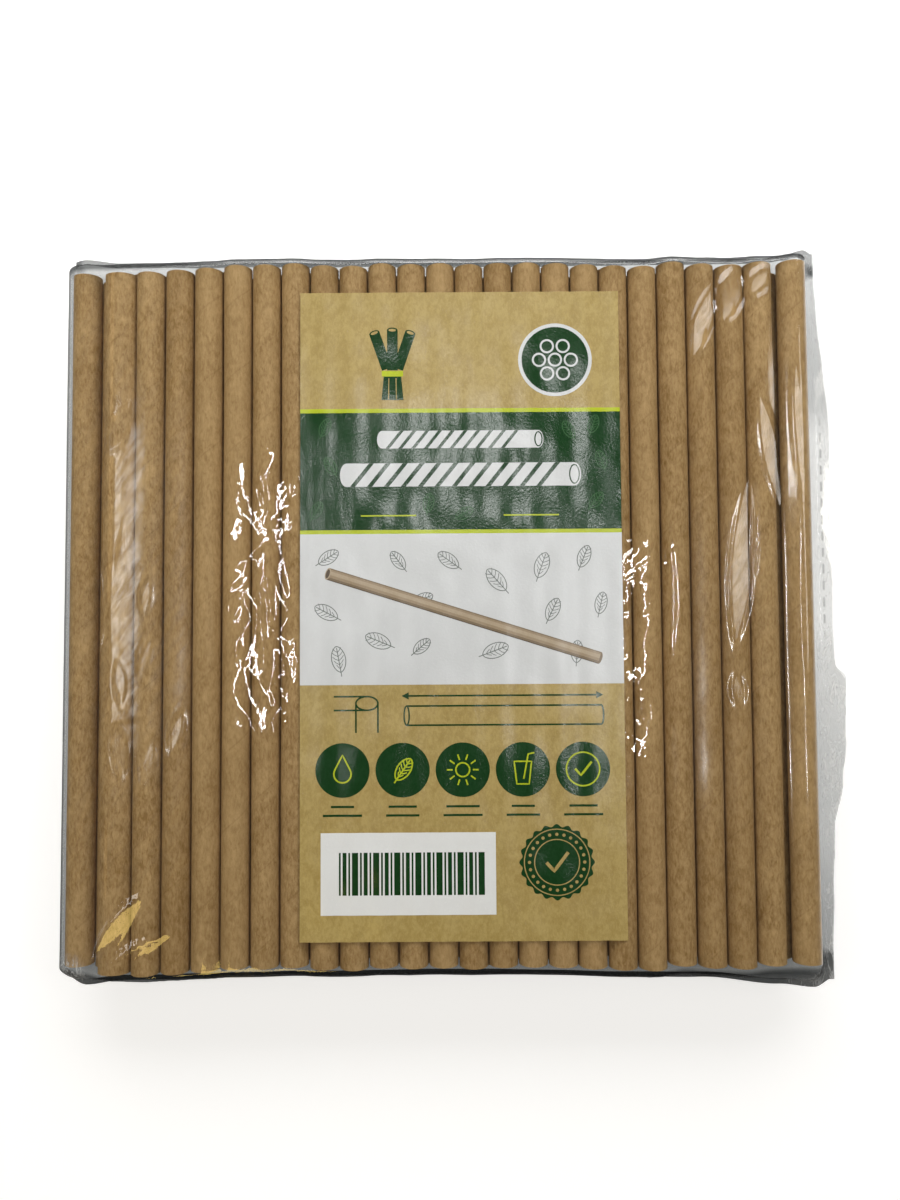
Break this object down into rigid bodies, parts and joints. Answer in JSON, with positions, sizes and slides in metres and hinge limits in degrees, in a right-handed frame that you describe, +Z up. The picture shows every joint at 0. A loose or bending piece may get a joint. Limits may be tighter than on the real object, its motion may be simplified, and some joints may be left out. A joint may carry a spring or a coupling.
{
  "type": "film-wrapped pack of paper drinking straws",
  "caption": "Flat sealed pack of kraft paper drinking straws in nested layers, wrapped in clear shrink film with a plain printed paper label stuck on its front.",
  "frame": {"origin": "middle of the film's flat underside, under the centre of the pack's whole outline", "axes": "+X across the straws, towards the sealed side edge; +Y along the straws; +Z up through the layers, out of the labelled front"},
  "size_m": [0.2306, 0.2159, 0.0299],
  "materials": {
    "kraft_straw": "matte unbleached kraft paper with a satin sheen",
    "clear_film": "clear glossy shrink film",
    "label_paper": "kraft paper label with fields of printed colour"
  },
  "bodies": {
    "root": {"film_sleeve": "clear_film", "front_label": "label_paper", "straw_front_01": "kraft_straw", "straw_front_02": "kraft_straw", "straw_front_03": "kraft_straw", "straw_front_04": "kraft_straw", "straw_front_05": "kraft_straw", "straw_front_06": "kraft_straw", "straw_front_07": "kraft_straw", "straw_front_08": "kraft_straw", "straw_front_09": "kraft_straw", "straw_front_10": "kraft_straw", "straw_front_11": "kraft_straw", "straw_front_12": "kraft_straw", "straw_front_13": "kraft_straw", "straw_front_14": "kraft_straw", "straw_front_15": "kraft_straw", "straw_front_16": "kraft_straw", "straw_front_17": "kraft_straw", "straw_front_18": "kraft_straw", "straw_front_19": "kraft_straw", "straw_front_20": "kraft_straw", "straw_front_21": "kraft_straw", "straw_front_22": "kraft_straw", "straw_front_23": "kraft_straw", "straw_front_24": "kraft_straw", "straw_front_25": "kraft_straw", "straws_inner_upper": "kraft_straw", "straws_inner_lower": "kraft_straw", "straw_back_01": "kraft_straw", "straw_back_02": "kraft_straw", "straw_back_03": "kraft_straw", "straw_back_04": "kraft_straw", "straw_back_05": "kraft_straw", "straw_back_06": "kraft_straw", "straw_back_07": "kraft_straw", "straw_back_08": "kraft_straw", "straw_back_09": "kraft_straw", "straw_back_10": "kraft_straw", "straw_back_11": "kraft_straw", "straw_back_12": "kraft_straw", "straw_back_13": "kraft_straw", "straw_back_14": "kraft_straw", "straw_back_15": "kraft_straw", "straw_back_16": "kraft_straw", "straw_back_17": "kraft_straw", "straw_back_18": "kraft_straw", "straw_back_19": "kraft_straw", "straw_back_20": "kraft_straw", "straw_back_21": "kraft_straw", "straw_back_22": "kraft_straw", "straw_back_23": "kraft_straw", "straw_back_24": "kraft_straw", "straw_back_25": "kraft_straw"}
  },
  "joints": []
}
